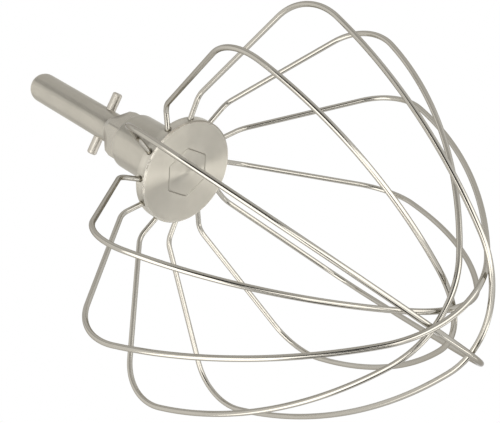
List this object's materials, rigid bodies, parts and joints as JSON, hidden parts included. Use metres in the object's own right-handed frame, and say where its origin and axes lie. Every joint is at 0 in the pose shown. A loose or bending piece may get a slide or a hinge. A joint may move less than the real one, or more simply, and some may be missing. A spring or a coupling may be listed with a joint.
{
  "type": "stand mixer wire whisk",
  "caption": "Balloon whisk for a stand mixer: nested stiff wire loops spring from the rim of a disc on a turned steel shaft with a cross-pinned drive shank.",
  "frame": {"origin": "on the shaft's axis, at the root of the ground register of the drive shank, just above the cross pin", "axes": "+Z along the shaft towards the shank's free end, +X along the cross pin"},
  "size_m": [0.1518, 0.1485, 0.2379],
  "materials": {
    "turned_steel": "satin",
    "polished_steel": "polished",
    "wire_steel": "polished"
  },
  "bodies": {
    "root": {"drive_shaft": "turned_steel", "cross_pin": "polished_steel", "wire_disc": "turned_steel", "wire_loop_1": "wire_steel", "wire_loop_2": "wire_steel", "wire_loop_3": "wire_steel", "wire_loop_4": "wire_steel", "wire_loop_5": "wire_steel", "wire_loop_6": "wire_steel"}
  },
  "joints": []
}
